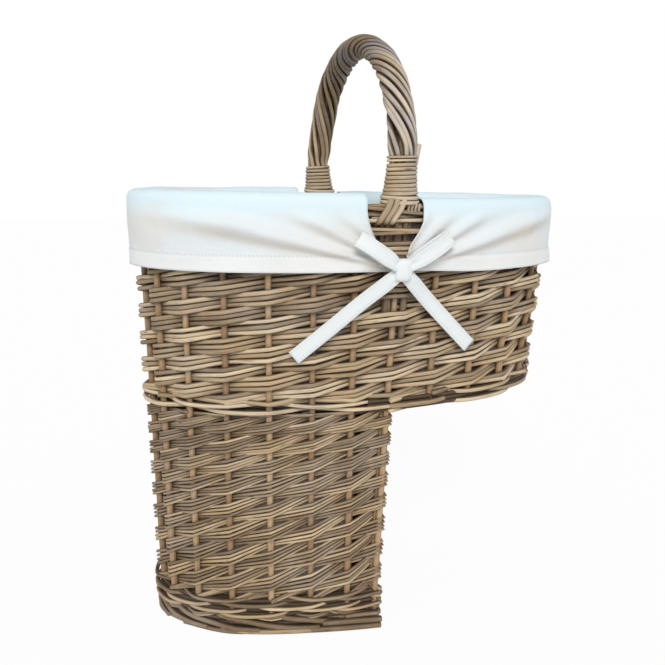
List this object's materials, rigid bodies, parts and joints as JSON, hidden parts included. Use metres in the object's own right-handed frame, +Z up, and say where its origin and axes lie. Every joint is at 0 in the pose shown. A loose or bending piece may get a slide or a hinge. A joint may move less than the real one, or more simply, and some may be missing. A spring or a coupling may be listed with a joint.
{
  "type": "stair basket",
  "caption": "Willow stair basket: a deep leg stands on the lower stair and a shelf rests on the next, with a bow handle and a cotton liner tied over the rim.",
  "frame": {"origin": "on the floor under the middle of the whole basket's length and width; the handle stands 1.5 mm towards the shelf end of it", "axes": "+Z up; +X towards the shelf end, that is towards the upper stair; -Y is the front, the side the picture shows"},
  "size_m": [0.4284, 0.2394, 0.5518],
  "materials": {
    "willow_weave": "unvarnished split and round willow with a thin grey wash",
    "willow_stake": "unvarnished round willow, tan",
    "willow_handle": "unvarnished round willow, greyed",
    "cotton": "plain cream cotton, matt"
  },
  "bodies": {
    "root": {"leg_weave_1": "willow_weave", "leg_weave_2": "willow_weave", "leg_weave_3": "willow_weave", "leg_weave_4": "willow_weave", "body_weave_1": "willow_weave", "body_weave_2": "willow_weave", "body_weave_3": "willow_weave", "body_weave_4": "willow_weave", "foot_wale": "willow_weave", "waist_wale": "willow_weave", "rim_pairing": "willow_weave", "foot_border": "willow_weave", "rim_border": "willow_weave", "leg_base": "willow_weave", "shelf_base": "willow_weave", "leg_stake_1": "willow_stake", "leg_stake_2": "willow_stake", "leg_stake_3": "willow_stake", "leg_stake_4": "willow_stake", "leg_stake_5": "willow_stake", "leg_stake_6": "willow_stake", "leg_stake_7": "willow_stake", "leg_stake_8": "willow_stake", "leg_stake_9": "willow_stake", "leg_stake_10": "willow_stake", "leg_stake_11": "willow_stake", "leg_stake_12": "willow_stake", "leg_stake_13": "willow_stake", "corner_stake_front": "willow_stake", "corner_stake_back": "willow_stake", "riser_stake_1": "willow_stake", "riser_stake_2": "willow_stake", "riser_stake_3": "willow_stake", "riser_stake_4": "willow_stake", "shelf_stake_1": "willow_stake", "shelf_stake_2": "willow_stake", "shelf_stake_3": "willow_stake", "shelf_stake_4": "willow_stake", "shelf_stake_5": "willow_stake", "shelf_stake_6": "willow_stake", "shelf_stake_7": "willow_stake", "shelf_stake_8": "willow_stake", "shelf_stake_9": "willow_stake", "shelf_stake_10": "willow_stake", "handle_bow": "willow_handle", "handle_rods": "willow_handle", "handle_binding_front": "willow_handle", "handle_binding_back": "willow_handle", "rim_lashing_front": "willow_handle", "rim_lashing_back": "willow_handle", "liner_bag": "cotton", "liner_cuff_leg_end": "cotton", "liner_cuff_shelf_end": "cotton", "bow_front_leg_end": "cotton", "bow_front_shelf_end": "cotton", "bow_back_leg_end": "cotton", "bow_back_shelf_end": "cotton"}
  },
  "joints": []
}
